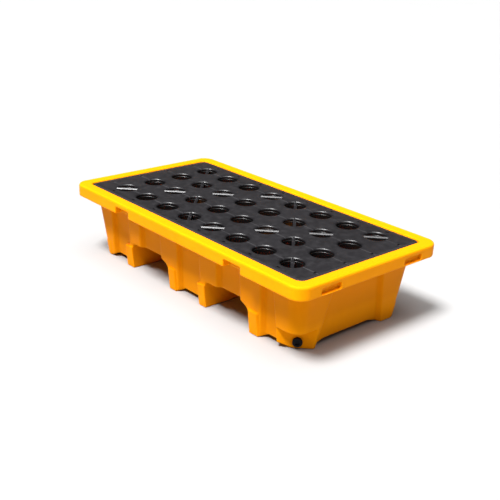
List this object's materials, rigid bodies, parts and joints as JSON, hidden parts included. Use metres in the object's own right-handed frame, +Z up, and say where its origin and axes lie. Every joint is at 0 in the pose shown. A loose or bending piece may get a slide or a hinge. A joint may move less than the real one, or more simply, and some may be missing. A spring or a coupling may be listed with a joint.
{
  "type": "spill containment pallet",
  "caption": "Low spill containment pallet: one-piece moulded plastic sump with fork tunnels, a lift-out perforated grate deck and a screwed drain plug.",
  "frame": {"origin": "on the floor under the middle of the pallet", "axes": "X along the length, with the drain plug at the +X -Y corner; Y along the width, along the fork tunnels; Z up"},
  "size_m": [1.3, 0.68, 0.29],
  "materials": {
    "sump": "moulded polyethylene, satin",
    "grate": "moulded polyethylene, satin",
    "plug": "moulded, fine grain",
    "gasket": "smooth"
  },
  "bodies": {
    "sump": {"sump": "sump"},
    "grate": {"grate": "grate"},
    "gasket": {"plug_gasket": "gasket"},
    "plug": {"drain_plug": "plug"}
  },
  "joints": [
    {"name": "grate_lift", "type": "slide", "parent": "sump", "child": "grate", "axis": [0, 0, 1], "range_m": [0, 0.12]},
    {"name": "plug_draw", "type": "slide", "parent": "sump", "child": "gasket", "axis": [0.7071, -0.7071, 0], "range_m": [0, 0.0146]},
    {"name": "plug_turn", "type": "hinge", "parent": "gasket", "child": "plug", "pos_m": [0.52714, -0.21107, 0.025], "axis": [0.7071, -0.7071, 0], "range_deg": [0, 2880]}
  ],
  "couplings": [
    {"joint": "plug_draw", "follows": "plug_turn", "m_per_rad": 0.00028871}
  ]
}
